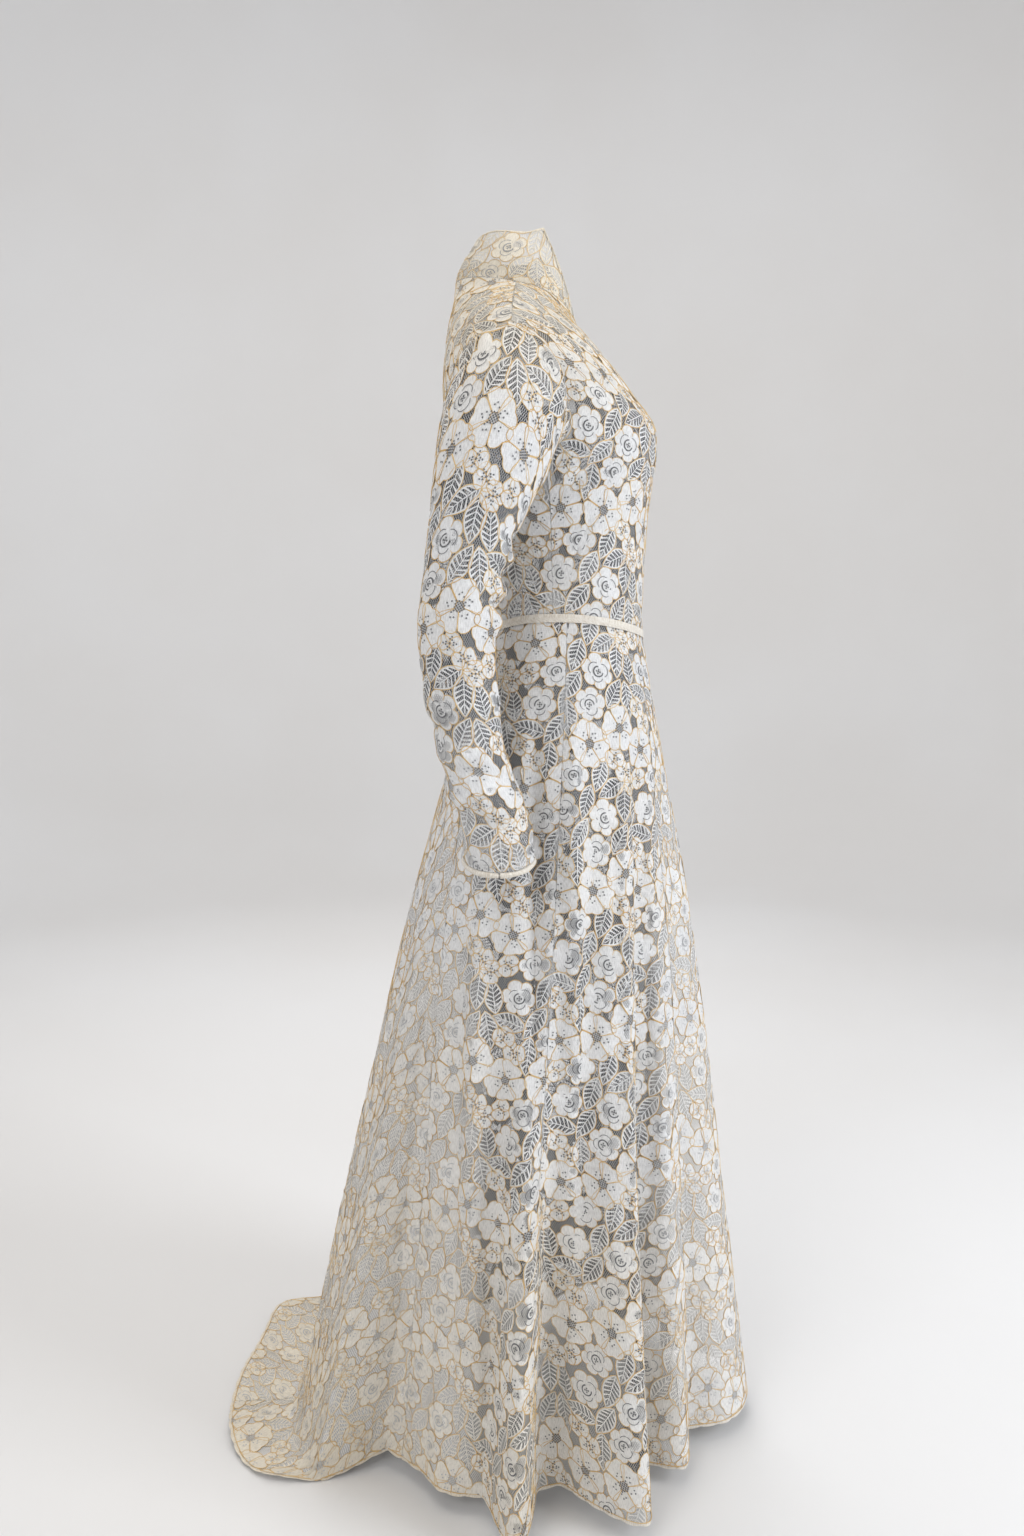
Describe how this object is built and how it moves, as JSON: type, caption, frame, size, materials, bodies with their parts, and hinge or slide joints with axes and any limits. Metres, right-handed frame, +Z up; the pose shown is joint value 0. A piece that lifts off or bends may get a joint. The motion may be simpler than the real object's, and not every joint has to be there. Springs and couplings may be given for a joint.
{
  "type": "lace gown",
  "caption": "Long-sleeved lace gown in its worn form, with a standing wing collar, V neck, waist seam and fluted skirt with a sweep train.",
  "frame": {"origin": "where the wearer's shoulders hold the gown, on the axis of the neck", "axes": "+Z up, -Y the way the gown faces, so the wearer's right side is at -X"},
  "size_m": [0.5712, 0.7155, 1.5572],
  "materials": {
    "bodice_lace": "corded lace, matte ivory with a gold outline thread",
    "collar_lace": "corded lace, matte cream with a gold outline thread",
    "sleeve_lace": "corded lace, matte ivory with a gold outline thread",
    "skirt_lace": "corded lace, matte ivory with a gold outline thread",
    "cuff_binding_cloth": "plain cream binding, soft sheen",
    "waist_band_cloth": "plain cream tape, matte"
  },
  "bodies": {
    "root": {"bodice_front": "bodice_lace", "bodice_back_left": "bodice_lace", "bodice_back_right": "bodice_lace", "collar_left": "collar_lace", "collar_right": "collar_lace", "sleeve_left": "sleeve_lace", "sleeve_right": "sleeve_lace", "cuff_binding_left": "cuff_binding_cloth", "cuff_binding_right": "cuff_binding_cloth", "waist_band": "waist_band_cloth", "skirt_front": "skirt_lace", "skirt_side_front_left": "skirt_lace", "skirt_side_front_right": "skirt_lace", "skirt_side_back_left": "skirt_lace", "skirt_side_back_right": "skirt_lace", "skirt_back_left": "skirt_lace", "skirt_back_right": "skirt_lace"}
  },
  "joints": []
}
